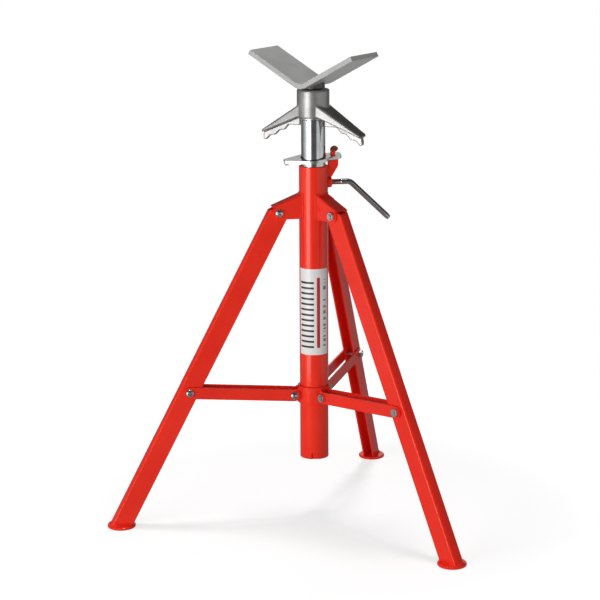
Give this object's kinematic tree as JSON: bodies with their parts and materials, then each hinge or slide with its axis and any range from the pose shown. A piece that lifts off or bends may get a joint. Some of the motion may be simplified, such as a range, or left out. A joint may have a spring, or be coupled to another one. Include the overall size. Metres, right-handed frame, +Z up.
{
  "type": "pipe jack stand",
  "caption": "Folding tripod stand for pipe: a clamped sliding post with a drop lock, a wing nut screw jack and a V head on sheet metal legs with braces.",
  "frame": {"origin": "on the floor, under the axis of the column", "axes": "+Z up along the column, +X towards the clamp lever and the lock hook, one leg along -X and the others 60 degrees either side of +X"},
  "size_m": [0.5483, 0.6258, 0.7961],
  "materials": {
    "red_paint": "glossy orange-red powder coat",
    "zinc_plate": "bright zinc plate",
    "cast_grey": "smooth grey casting",
    "steel_grey": "satin grey steel"
  },
  "bodies": {
    "stand": {"base_tube": "red_paint", "bracket_left": "red_paint", "bracket_front": "red_paint", "bracket_rear": "red_paint", "hinge_bolt_left": "zinc_plate", "hinge_bolt_front": "zinc_plate", "hinge_bolt_rear": "zinc_plate", "hinge_nut_left": "zinc_plate", "hinge_nut_front": "zinc_plate", "hinge_nut_rear": "zinc_plate", "clamp_nut": "red_paint", "lock_hook": "red_paint"},
    "leg_left": {"leg_left": "red_paint", "foot_left": "red_paint", "leg_pin_left": "zinc_plate"},
    "leg_front": {"leg_front": "red_paint", "foot_front": "red_paint", "leg_pin_front": "zinc_plate"},
    "leg_rear": {"leg_rear": "red_paint", "foot_rear": "red_paint", "leg_pin_rear": "zinc_plate"},
    "collar": {"collar": "red_paint", "collar_bolt_left": "zinc_plate", "collar_bolt_front": "zinc_plate", "collar_bolt_rear": "zinc_plate", "collar_nut_left": "zinc_plate", "collar_nut_front": "zinc_plate", "collar_nut_rear": "zinc_plate"},
    "brace_left": {"brace_near_left": "red_paint", "brace_far_left": "red_paint", "brace_bolt_left": "zinc_plate", "brace_nut_left": "zinc_plate"},
    "brace_front": {"brace_near_front": "red_paint", "brace_far_front": "red_paint", "brace_bolt_front": "zinc_plate", "brace_nut_front": "zinc_plate"},
    "brace_rear": {"brace_near_rear": "red_paint", "brace_far_rear": "red_paint", "brace_bolt_rear": "zinc_plate", "brace_nut_rear": "zinc_plate"},
    "post": {"post": "zinc_plate", "thrust_washer": "zinc_plate"},
    "wing_nut": {"wing_nut": "cast_grey"},
    "head": {"jack_screw": "steel_grey", "v_boss": "steel_grey", "v_plate": "steel_grey"},
    "lock_plate": {"lock_plate": "zinc_plate"},
    "clamp_lever": {"clamp_lever": "zinc_plate"}
  },
  "joints": [
    {"name": "fold_left", "type": "hinge", "parent": "stand", "child": "leg_left", "pos_m": [-0.0599, 0, 0.5311], "axis": [0, -1, 0], "range_deg": [0, 27.5]},
    {"name": "fold_front", "type": "hinge", "parent": "stand", "child": "leg_front", "pos_m": [0.02995, -0.05187, 0.5311], "axis": [0.866, 0.5, 0], "range_deg": [0, 27.5]},
    {"name": "fold_rear", "type": "hinge", "parent": "stand", "child": "leg_rear", "pos_m": [0.02995, 0.05187, 0.5311], "axis": [-0.866, 0.5, 0], "range_deg": [0, 27.5]},
    {"name": "collar_slide", "type": "slide", "parent": "stand", "child": "collar", "axis": [0, 0, 1], "range_m": [0, 0.15459]},
    {"name": "brace_hinge_left", "type": "hinge", "parent": "collar", "child": "brace_left", "pos_m": [-0.0362, 0, 0.21629], "axis": [0, -1, 0], "range_deg": [0, 87.53]},
    {"name": "brace_hinge_front", "type": "hinge", "parent": "collar", "child": "brace_front", "pos_m": [0.0181, -0.03135, 0.21629], "axis": [0.866, 0.5, 0], "range_deg": [0, 87.53]},
    {"name": "brace_hinge_rear", "type": "hinge", "parent": "collar", "child": "brace_rear", "pos_m": [0.0181, 0.03135, 0.21629], "axis": [-0.866, 0.5, 0], "range_deg": [0, 87.53]},
    {"name": "post_slide", "type": "slide", "parent": "stand", "child": "post", "axis": [0, 0, 1], "range_m": [-0.03, 0.385]},
    {"name": "nut_turn", "type": "hinge", "parent": "post", "child": "wing_nut", "pos_m": [0, 0, 0.7], "axis": [0, 0, -1], "range_deg": [0, 7560]},
    {"name": "head_lift", "type": "slide", "parent": "post", "child": "head", "axis": [0, 0, 1], "range_m": [0, 0.1067]},
    {"name": "lock_plate_tilt", "type": "hinge", "parent": "stand", "child": "lock_plate", "pos_m": [0.0412, 0, 0.6199], "axis": [0, 1, 0], "range_deg": [0, 8]},
    {"name": "clamp_turn", "type": "hinge", "parent": "stand", "child": "clamp_lever", "pos_m": [0.03, 0, 0.5783], "axis": [1, 0, 0], "range_deg": [-120, 120]}
  ],
  "couplings": [
    {"joint": "fold_front", "follows": "fold_left", "ratio": 1},
    {"joint": "fold_rear", "follows": "fold_left", "ratio": 1},
    {"joint": "collar_slide", "follows": "fold_left", "m_per_rad": 0.32208},
    {"joint": "brace_hinge_left", "follows": "fold_left", "ratio": 3.1828},
    {"joint": "brace_hinge_front", "follows": "fold_left", "ratio": 3.1828},
    {"joint": "brace_hinge_rear", "follows": "fold_left", "ratio": 3.1828},
    {"joint": "head_lift", "follows": "nut_turn", "m_per_rad": 0.00080851}
  ]
}
